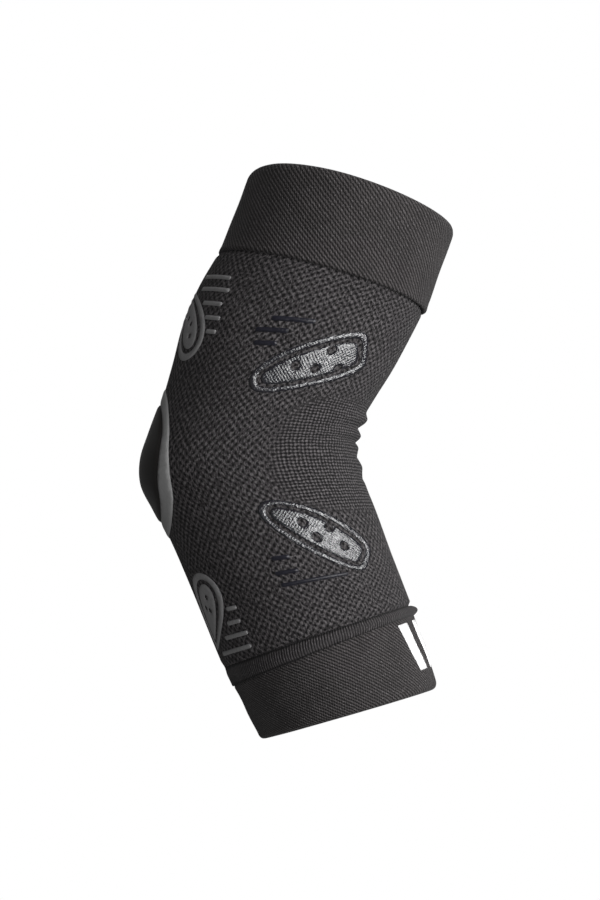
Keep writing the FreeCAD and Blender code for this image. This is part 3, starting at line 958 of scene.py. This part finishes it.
def on_knit(course, azimuth, side):
    """Wraps flat artwork round the knit from a centre. side is 1 on the left and -1 on the right."""
    c, a = np.array([course]), np.array([float(azimuth)])
    around = np.linalg.norm(KNIT_TUBE.bare(c, a + 1) - KNIT_TUBE.bare(c, a - 1)) / 2
    along = np.linalg.norm(KNIT_TUBE.bare(c + 0.05, a) - KNIT_TUBE.bare(c - 0.05, a)) / 0.1

    def place(points, lift):
        u, v = points[:, 0], points[:, 1]
        return KNIT_TUBE.at(course + v / along, side * (azimuth + u / around), lift)

    return place


# Each kind of print: its outline, the widths of its ring and of the channel inside it, and its holes' radius
# The rear prints' grey is a painted reflection.
REAR = {
    "shape": teardrop, "half_length": 19.4, "half_width": 11.3, "ring": 3.1, "channel": 2.2,
    "hole_radius": 1.25, "material": print_rear_painted_reflection, "bar_material": print_rear_painted_reflection,
}
SIDE = {
    "shape": egg, "half_length": 26.0, "half_width": 12.5, "ring": 3.0, "channel": 1.9,
    "hole_radius": 1.9, "material": print_black, "bar_material": print_dull,
}

# Each print's centre as a course and an azimuth, the direction of its blunt end, its holes along and across
# that direction, and its bars as (start round the arm, height along the arm, length), with their tilt
MOTIFS = {
    "upper_rear": {
        **REAR, "course": 0.60, "azimuth": 23.5, "turn": -54.0, "tilt": -2.0,
        "holes": [(7.5, 0.0), (1.5, 1.6), (-3.5, -0.8)],
        "bars": [(-6.3, 22.8, 23.8), (-1.8, 16.6, 22.2), (6.0, 9.6, 13.8), (12.1, 2.8, 9.9),
                 (16.2, -3.8, 6.4)],
    },
    "lower_rear": {
        **REAR, "course": -0.75, "azimuth": 23.5, "turn": 62.0, "tilt": -1.0,
        "holes": [(7.5, 0.0), (1.5, -1.6), (1.5, 1.8)],
        "bars": [(-3.9, -19.4, 23.7), (5.1, -13.2, 15.8), (11.0, -7.2, 8.4), (14.0, -0.8, 6.2)],
    },
    "upper_side": {
        **SIDE, "course": 0.465, "azimuth": 108.5, "turn": 29.0, "tilt": 7.0,
        "holes": [(9.1, 4.5), (1.4, -2.6), (11.8, -5.6), (-6.5, 1.5)],
        "bars": [(-24.3, 16.2, 18.2), (-28.9, 10.6, 13.8), (-27.5, 5.0, 9.9)],
    },
    "lower_side": {
        **SIDE, "course": -0.475, "azimuth": 112.0, "turn": -37.0, "tilt": 0.0,
        "holes": [(3.0, 5.0), (-0.7, -2.6), (12.0, 0.2), (-8.0, 1.0)],
        "bars": [(-24.9, -21.9, 31.0), (-25.5, -15.8, 10.5), (-24.4, -8.6, 8.0)],
    },
}


def build_motif(name, spec):
    """One print on both sides: a ring, a drop with round holes in it, and its row of bars."""
    def sized(inset):
        shape = spec["shape"](spec["half_length"] - inset, spec["half_width"] - inset)
        return turned(shape, spec["turn"])

    holes = [hole + circle(spec["hole_radius"], 20) for hole in turned(spec["holes"], spec["turn"])]
    for word, side in (("left", 1), ("right", -1)):
        place = on_knit(spec["course"], spec["azimuth"], side)
        start = f"{name}_{word}"
        ring = make_patch(f"{start}_ring", place, sized(0), [sized(spec["ring"])], PRINT, spec["material"],
                          spacing=1.6, edge_step=0.7)
        fit(ring, "both", "print_silicone", f"{start}_ring")
        drop = make_patch(f"{start}_drop", place, sized(spec["ring"] + spec["channel"]), holes, PRINT,
                          spec["material"], spacing=1.5, edge_step=0.7)
        fit(drop, "both", "print_silicone", f"{start}_drop")
        for i, bar in enumerate(spec["bars"]):
            one = make_patch(f"{start}_bar_{i + 1}", place, bar_outline(*bar, spec["tilt"]), [], PRINT,
                             spec["bar_material"], spacing=1.4, edge_step=0.6, round_over=0.6)
            fit(one, "both", "print_silicone", f"{start}_bars")


def build_mark():
    """Two plain slanted bars near the front of the lower cuff."""
    def place(points, lift):
        along = MARK_ALONG - points[:, 1] / LOWER_CUFF_HEIGHT
        return LOWER_CUFF_TUBE.at(along, MARK_AZIMUTH + points[:, 0] / MARK_MM_PER_DEGREE, lift)

    h, w, lean = MARK_TALL / 2, MARK_WIDE / 2, MARK_LEAN / 2
    for i, u in enumerate((-MARK_SPREAD, MARK_SPREAD)):
        shape = np.array([(u - w + lean, -h), (u + w + lean, -h), (u + w - lean, h), (u - w - lean, h)])
        bar = make_patch(f"cuff_mark_bar_{i + 1}", place, shape, [], MARK, mark_white, spacing=1.4,
                         edge_step=0.8, round_over=0.4)
        fit(bar, FOREARM, "mark_print", "cuff_mark")


# ---------------------------------------------------------------- studio, in metres

VIEW_DISTANCE = 1.10
VIEW_DROP = 5.5  # the camera is lower than the sleeve and looks up by this many degrees
VIEW_POINT = (12.6, 0.9)  # what it looks at, as (x, z) in millimetres
VIEW_HEIGHT = 0.405  # how much its picture takes in from top to bottom, at the sleeve
SENSOR = 36.0  # the sensor's long side in millimetres
FLOOR_DROP = 0.30  # from the sleeve's lowest point to the floor
FLOOR_REACH = 12.0  # from the middle to each edge
FLOOR_GLOW, WORLD_GLOW = 0.16, 0.13  # what they give to the sleeve

# name, bearing and rise in degrees, distance, width, height, power in watts, and whether it shows as a shine
LIGHTS = [
    ("key", 54.0, 4.0, 1.5, 0.9, 1.7, 43.0, True),
    ("fill", 10.0, -10.0, 1.6, 0.8, 0.28, 9.0, False),
    ("top", 30.0, 66.0, 1.6, 1.2, 1.2, 6.0, False),
    ("back", 180.0, 22.0, 1.8, 1.2, 0.8, 20.0, False),
]


def build_camera():
    camera = bpy.data.cameras.new("camera")
    camera.sensor_width = SENSOR
    camera.lens = SENSOR * VIEW_DISTANCE / VIEW_HEIGHT
    camera.clip_start, camera.clip_end = 0.05, 50.0
    obj = bpy.data.objects.new("camera", camera)
    drop = math.radians(VIEW_DROP)
    target = Vector(HINGE) + Vector((VIEW_POINT[0], 0, VIEW_POINT[1])) * MM
    obj.location = target + Vector((0, -math.cos(drop), -math.sin(drop))) * VIEW_DISTANCE
    obj.rotation_mode = "QUATERNION"
    obj.rotation_quaternion = (target - obj.location).to_track_quat("-Z", "Y")
    bpy.context.scene.collection.objects.link(obj)
    bpy.context.scene.camera = obj


def softbox(name, bearing, rise, distance, width, height, power, shines):
    """An area light at a bearing to the right of the camera's side and a rise above the elbow."""
    light = bpy.data.lights.new(name, "AREA")
    light.shape = "RECTANGLE"
    light.size, light.size_y, light.energy = width, height, power
    obj = bpy.data.objects.new(name, light)
    b, r = math.radians(bearing), math.radians(rise)
    way = Vector((math.sin(b) * math.cos(r), -math.cos(b) * math.cos(r), math.sin(r)))
    obj.location = Vector(HINGE) + way * distance
    obj.rotation_mode = "QUATERNION"
    obj.rotation_quaternion = way.to_track_quat("Z", "Y")
    obj.visible_glossy, obj.visible_camera = shines, False
    bpy.context.scene.collection.objects.link(obj)


def white_only_to_camera(tree, kind, out_socket, dim_strength):
    """A light-giving shader that is plain white to the camera and dim to everything else."""
    nodes, links = tree.nodes, tree.links
    dim, white = nodes.new(kind), nodes.new(kind)
    for shader, strength in ((dim, dim_strength), (white, 1.0)):
        shader.inputs["Color"].default_value = rgb(1.0, 1.0, 1.0)
        shader.inputs["Strength"].default_value = strength
    mix = nodes.new("ShaderNodeMixShader")
    links.new(nodes.new("ShaderNodeLightPath").outputs["Is Camera Ray"], mix.inputs[0])
    links.new(dim.outputs[0], mix.inputs[1])
    links.new(white.outputs[0], mix.inputs[2])
    links.new(mix.outputs[0], out_socket)


def build_room():
    """A white room, with a tall softbox well to the right and weaker ones in front, above and behind."""
    world = bpy.data.worlds.new("studio")
    world.use_nodes = True
    world.node_tree.nodes.clear()
    out = world.node_tree.nodes.new("ShaderNodeOutputWorld")
    white_only_to_camera(world.node_tree, "ShaderNodeBackground", out.inputs["Surface"], WORLD_GLOW)
    bpy.context.scene.world = world
    for light in LIGHTS:
        softbox(*light)


def build_floor():
    z = cad_box[0][2] - FLOOR_DROP
    corners = [(x * FLOOR_REACH, y * FLOOR_REACH, z) for x, y in ((-1, -1), (1, -1), (1, 1), (-1, 1))]
    mesh = bpy.data.meshes.new("floor")
    mesh.from_pydata(corners, [], [(0, 1, 2, 3)])
    material = bpy.data.materials.new("floor")
    material.use_nodes = True
    material.node_tree.nodes.clear()
    out = material.node_tree.nodes.new("ShaderNodeOutputMaterial")
    white_only_to_camera(material.node_tree, "ShaderNodeEmission", out.inputs["Surface"], FLOOR_GLOW)
    mesh.materials.append(material)
    obj = bpy.data.objects.new("floor", mesh)
    bpy.context.scene.collection.objects.link(obj)


build_knit()
build_cuff("upper", UPPER_CUFF_TUBE, UPPER_CUFF_HEIGHT, UPPER, upper_twill, low=0.0)
build_cuff("lower", LOWER_CUFF_TUBE, LOWER_CUFF_HEIGHT, FOREARM, lower_twill, low=-HEM_OVERLAP)
build_seam_thread("upper_linking_seam", SEAM_COURSE, UPPER)
build_seam_thread("lower_linking_seam", -SEAM_COURSE, FOREARM)
build_roll()
build_cover()
build_band()
build_pad_inside()
for motif_name, motif_spec in MOTIFS.items():
    build_motif(motif_name, motif_spec)
build_mark()
build_camera()
build_room()
build_floor()
bpy.context.scene.view_settings.view_transform = "Standard"
